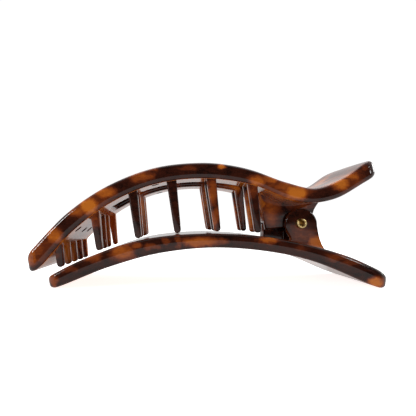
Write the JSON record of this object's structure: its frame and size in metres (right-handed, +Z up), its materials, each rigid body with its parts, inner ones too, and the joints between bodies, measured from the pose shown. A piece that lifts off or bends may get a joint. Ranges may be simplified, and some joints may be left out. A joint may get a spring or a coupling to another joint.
{
  "type": "hair clip",
  "caption": "Flat claw hair clip: an arched open upper jaw with teeth, a curved lower jaw, a split hinge pin and a closing spring.",
  "frame": {"origin": "on the surface that the clip stands on, under the middle of the clip", "axes": "+X from the jaws' front towards the handles, +Y across the clip along the hinge pin, +Z up"},
  "size_m": [0.1149, 0.035, 0.0411],
  "materials": {
    "upper_shell": "polished tortoiseshell acetate",
    "lower_shell": "polished tortoiseshell acetate",
    "pin_gold": "bright plated",
    "spring_steel": "drawn wire"
  },
  "bodies": {
    "lower": {"lower_jaw": "lower_shell", "hinge_pin": "pin_gold", "torsion_spring": "spring_steel"},
    "upper": {"upper_jaw": "upper_shell"}
  },
  "joints": [
    {"name": "jaw_hinge", "type": "hinge", "parent": "lower", "child": "upper", "pos_m": [0.0327, 0, 0.0202], "axis": [0, 1, 0], "range_deg": [0, 50], "stiffness_Nm_per_rad": 0.03, "springref_deg": -28.65, "deforming": ["torsion_spring"]}
  ]
}
